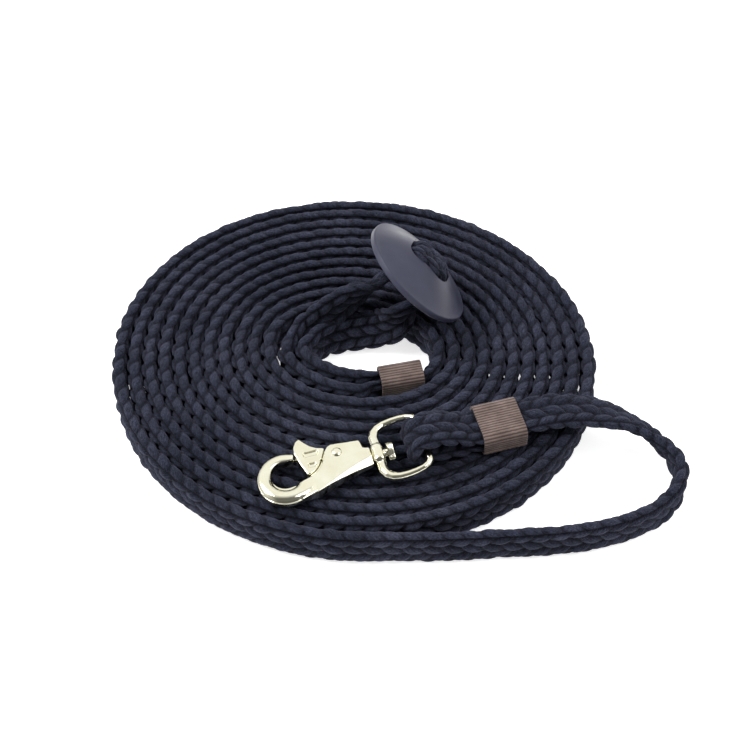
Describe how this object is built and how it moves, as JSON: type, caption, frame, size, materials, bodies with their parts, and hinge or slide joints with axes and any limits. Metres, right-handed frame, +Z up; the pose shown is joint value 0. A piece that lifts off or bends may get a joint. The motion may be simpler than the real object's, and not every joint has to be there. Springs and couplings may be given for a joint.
{
  "type": "lunge line",
  "caption": "Coiled flat braided rope with a swivel trigger snap at one end and a rubber stop on a hand loop at the other.",
  "frame": {"origin": "middle of the whole model's box, on the floor", "axes": "+X along the coil's long side, towards the open loop at the snap's end; -Y is the side that the snap lies on; +Z up"},
  "size_m": [0.3398, 0.2626, 0.0807],
  "materials": {
    "rope": "braided cotton, fuzzy",
    "tape": "ribbed woven tape",
    "brass": "polished",
    "rubber": "satin",
    "spring_steel": "drawn wire"
  },
  "bodies": {
    "rope": {"rope_coil": "rope", "rope_free_loop": "rope", "rope_snap_eye": "rope", "rope_hand_loop": "rope", "snap_sleeve": "tape", "hand_sleeve": "tape", "stopper_disc": "rubber"},
    "bow": {"swivel_bow": "brass"},
    "snap": {"snap_body": "brass", "trigger_rivet": "brass", "trigger_spring": "spring_steel"},
    "trigger": {"trigger": "brass"}
  },
  "joints": [
    {"name": "bow_swing", "type": "hinge", "parent": "rope", "child": "bow", "pos_m": [0.01589, -0.07002, 0.03761], "axis": [-0.2756, 0.9613, 0], "range_deg": [0, 90]},
    {"name": "snap_swivel", "type": "hinge", "parent": "bow", "child": "snap", "pos_m": [-0.0095, -0.0773, 0.032], "axis": [0.9607, 0.2755, 0.0349], "range_deg": [0, 180], "deforming": ["rope_coil"]},
    {"name": "trigger_pivot", "type": "hinge", "parent": "snap", "child": "trigger", "pos_m": [-0.03329, -0.07736, 0.0312], "axis": [-0.0336, -0.0096, 0.9994], "range_deg": [-65, 0], "stiffness_Nm_per_rad": 0.1, "springref_deg": 20.05, "deforming": ["trigger_spring"]}
  ]
}
